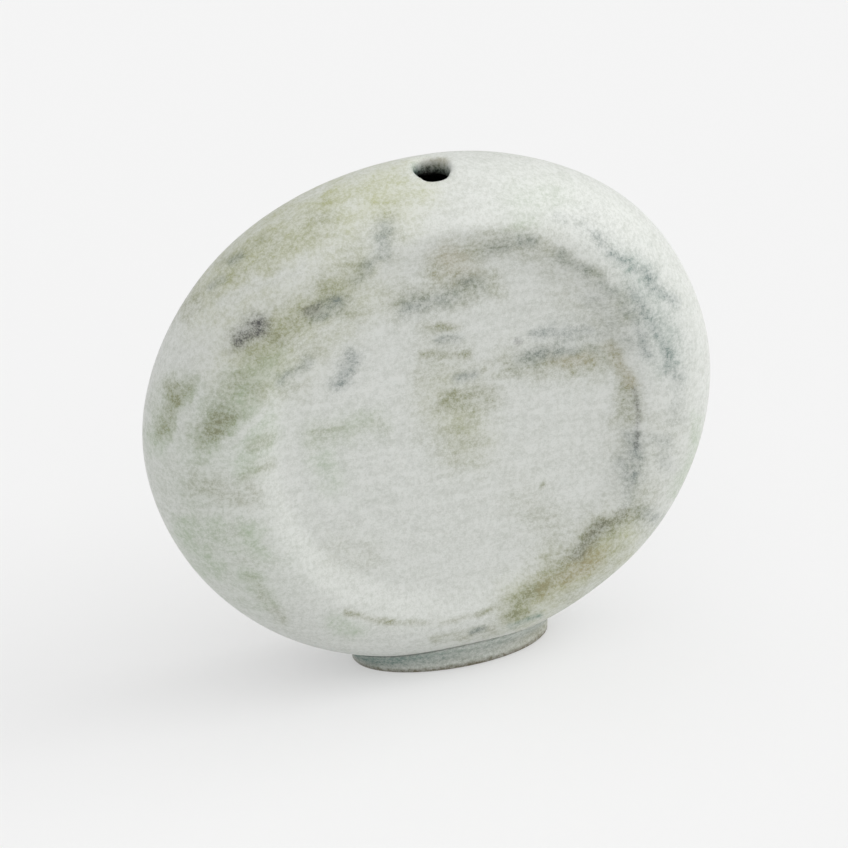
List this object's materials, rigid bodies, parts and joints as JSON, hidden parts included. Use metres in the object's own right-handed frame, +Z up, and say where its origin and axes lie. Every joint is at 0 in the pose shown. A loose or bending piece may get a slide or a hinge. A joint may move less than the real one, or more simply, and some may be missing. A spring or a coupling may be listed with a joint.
{
  "type": "coin vase",
  "caption": "Flat round stoneware vase standing on edge on an oval foot ring, with a recessed face on each side and a small stem hole pierced through the top of its rim.",
  "frame": {"origin": "on the table, under the middle of the disc", "axes": "+Z up; +X along the width of the disc; -Y is the front face, +Y the back face"},
  "size_m": [0.13, 0.034, 0.1229],
  "materials": {
    "satin_glaze": "satin",
    "glazed_slip": "satin",
    "foot_glaze": "satin"
  },
  "bodies": {
    "root": {"front_dish": "satin_glaze", "back_dish": "satin_glaze", "rim_slip": "glazed_slip", "foot_ring": "foot_glaze", "foot_bed": "glazed_slip"}
  },
  "joints": []
}
